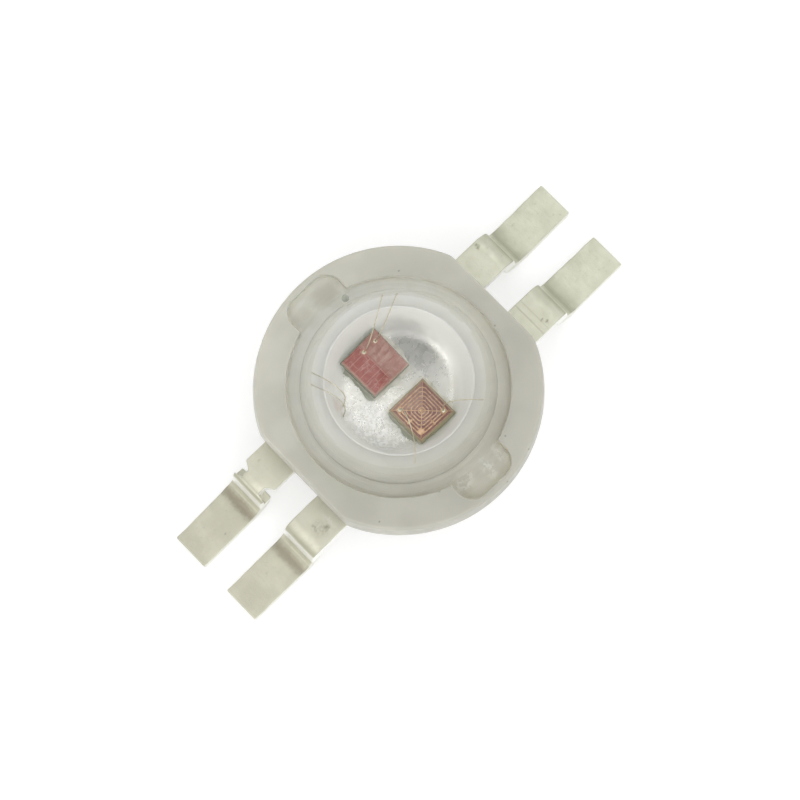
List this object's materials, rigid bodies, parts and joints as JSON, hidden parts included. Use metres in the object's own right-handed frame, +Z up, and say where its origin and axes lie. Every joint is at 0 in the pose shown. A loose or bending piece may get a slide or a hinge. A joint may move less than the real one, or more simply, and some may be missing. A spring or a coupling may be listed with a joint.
{
  "type": "power led emitter",
  "caption": "Bead-type power light-emitting diode: round milky housing with two flats, clear dome lens, two square chips in a silver reflector cup, gold bond wires and bent tinned leads",
  "frame": {"origin": "middle of the two lead rows' span, on the plane of the board", "axes": "+X along the leads, +Y across them towards one lens ear, +Z up through the dome"},
  "size_m": [0.0146, 0.008, 0.0054],
  "materials": {
    "milky_housing": "translucent milky moulding, satin",
    "silver_plate": "silver-plated copper, fine satin",
    "tinned_lead": "matt tinned copper strip",
    "clear_lens": "clear, moulded smooth",
    "clear_silicone": "clear soft fill",
    "rose_chip": "polished semiconductor, rose red",
    "brown_chip": "polished semiconductor, red-brown",
    "pale_electrode": "thin pale metal",
    "gold_electrode": "thin gold",
    "die_paste": "dark silver-filled paste",
    "gold_wire": "drawn gold wire"
  },
  "bodies": {
    "root": {"housing": "milky_housing", "heat_slug": "silver_plate", "lead_a": "tinned_lead", "lead_b": "tinned_lead", "lead_c": "tinned_lead", "lead_d": "tinned_lead", "lens": "clear_lens", "silicone_fill": "clear_silicone", "die_1": "rose_chip", "die_2": "brown_chip", "die_1_electrode": "pale_electrode", "die_2_electrode": "gold_electrode", "die_attach_1": "die_paste", "die_attach_2": "die_paste", "bond_wire_1": "gold_wire", "bond_wire_2": "gold_wire", "bond_wire_3": "gold_wire", "bond_wire_4": "gold_wire", "bond_wire_5": "gold_wire", "bond_wire_6": "gold_wire"}
  },
  "joints": []
}
